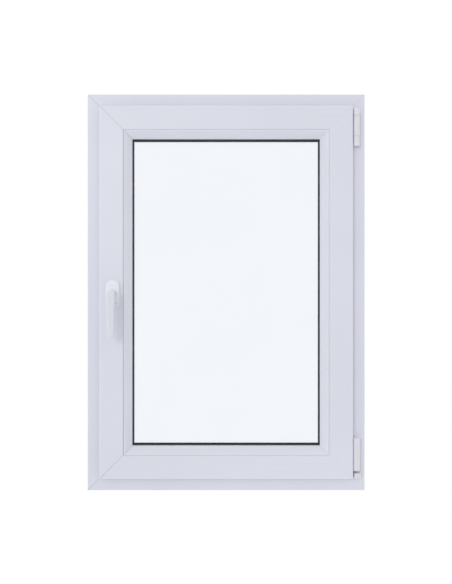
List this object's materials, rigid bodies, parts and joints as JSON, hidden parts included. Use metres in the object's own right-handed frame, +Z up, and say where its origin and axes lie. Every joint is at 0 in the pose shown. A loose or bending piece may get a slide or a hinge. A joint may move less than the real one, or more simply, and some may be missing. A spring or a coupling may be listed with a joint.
{
  "type": "tilt and turn casement window",
  "caption": "White plastic window whose double-glazed sash turns inward on its right side or tilts on its lower edge, worked by one lever handle.",
  "frame": {"origin": "middle of the frame sill's underside, half way through the frame's depth", "axes": "+X along the window to its hinge side, +Z up, the room is at -Y and outdoors at +Y"},
  "size_m": [0.7, 0.144, 1],
  "materials": {
    "frame_pvc": "smooth white rigid PVC",
    "sash_pvc": "smooth white rigid PVC",
    "bead_pvc": "smooth white rigid PVC",
    "galvanised_steel": "galvanised",
    "seal_rubber": "black extruded rubber",
    "edge_sealant": "black sealant",
    "white_caps": "white moulded plastic",
    "white_hinge_metal": "white powder coat",
    "zinc_fittings": "satin silver zinc",
    "zinc_screws": "bright zinc",
    "bright_steel": "bright steel",
    "bush_plastic": "dark acetal",
    "packer_plastic": "moulded plastic",
    "window_glass": "clear float glass",
    "spacer_aluminium": "matt aluminium",
    "white_handle": "white powder coat"
  },
  "bodies": {
    "frame": {"frame_sill": "frame_pvc", "frame_head": "frame_pvc", "frame_jamb_lock": "frame_pvc", "frame_jamb_hinge": "frame_pvc", "frame_steel_jambs": "galvanised_steel", "frame_steel_rails": "galvanised_steel", "frame_seal": "seal_rubber", "drain_caps": "white_caps", "lock_keepers": "zinc_fittings", "tilt_keeper": "zinc_fittings", "frame_screws": "zinc_screws", "stay_bearing": "white_hinge_metal", "stay_hinge_pin": "bright_steel", "stay_hinge_caps": "white_caps", "pivot_bearing": "white_hinge_metal"},
    "pivot": {"pivot_bush": "bush_plastic"},
    "sash": {"sash_sill": "sash_pvc", "sash_head": "sash_pvc", "sash_jamb_lock": "sash_pvc", "sash_jamb_hinge": "sash_pvc", "sash_steel_jambs": "galvanised_steel", "sash_steel_rails": "galvanised_steel", "sash_lip_seal": "seal_rubber", "glazing_seal_outside": "seal_rubber", "glazing_seal_bead": "seal_rubber", "glass_outside": "window_glass", "glass_inside": "window_glass", "spacer_bar": "spacer_aluminium", "edge_sealant": "edge_sealant", "glazing_packers": "packer_plastic", "bead_sill": "bead_pvc", "bead_head": "bead_pvc", "bead_jamb_lock": "bead_pvc", "bead_jamb_hinge": "bead_pvc", "faceplate_lock": "zinc_fittings", "faceplate_rails": "zinc_fittings", "faceplate_screws": "zinc_screws", "corner_drives": "zinc_fittings", "corner_bands": "bright_steel", "stay_guide": "zinc_fittings", "gearbox_case": "zinc_fittings", "rosette_base": "zinc_fittings", "rosette_cover": "white_handle", "handle_screws": "zinc_screws", "sash_hinge_band": "zinc_fittings", "sash_ball_pin": "bright_steel", "sash_hinge_sleeve": "white_caps", "sash_hinge_screws": "zinc_screws"},
    "stay": {"stay_arm": "zinc_fittings", "stay_hinge_sleeve": "white_caps", "stay_slider_pin": "bright_steel"},
    "handle": {"handle_lever": "white_handle", "handle_spindle": "bright_steel", "gearbox_pinion": "bright_steel"},
    "lock_rod": {"lock_rod": "zinc_fittings", "lock_cams": "bright_steel"},
    "top_rod": {"top_rod": "zinc_fittings", "top_cam": "bright_steel"},
    "bottom_rod": {"bottom_rod": "zinc_fittings", "tilt_cam": "bright_steel"}
  },
  "joints": [
    {"name": "sash_turn", "type": "hinge", "parent": "frame", "child": "pivot", "pos_m": [0.3275, -0.046, 0.04], "axis": [0, 0, 1], "range_deg": [0, 95]},
    {"name": "sash_tilt", "type": "hinge", "parent": "pivot", "child": "sash", "pos_m": [0.3275, -0.046, 0.04], "axis": [1, 0, 0], "range_deg": [0, 8]},
    {"name": "stay_swing", "type": "hinge", "parent": "pivot", "child": "stay", "pos_m": [0.3275, -0.046, 0.04], "axis": [0, 0, 1], "range_deg": [0, 18]},
    {"name": "handle_turn", "type": "hinge", "parent": "sash", "child": "handle", "pos_m": [-0.283, -0.055, 0.498], "axis": [0, -1, 0], "range_deg": [0, 180]},
    {"name": "lock_rod_slide", "type": "slide", "parent": "sash", "child": "lock_rod", "axis": [0, 0, -1], "range_m": [0, 0.03]},
    {"name": "top_rod_slide", "type": "slide", "parent": "sash", "child": "top_rod", "axis": [-1, 0, 0], "range_m": [0, 0.03]},
    {"name": "bottom_rod_slide", "type": "slide", "parent": "sash", "child": "bottom_rod", "axis": [1, 0, 0], "range_m": [0, 0.03]}
  ],
  "couplings": [
    {"joint": "stay_swing", "follows": "sash_tilt", "ratio": 2.25},
    {"joint": "lock_rod_slide", "follows": "handle_turn", "m_per_rad": 0.0095493},
    {"joint": "top_rod_slide", "follows": "handle_turn", "m_per_rad": 0.0095493},
    {"joint": "bottom_rod_slide", "follows": "handle_turn", "m_per_rad": 0.0095493}
  ]
}
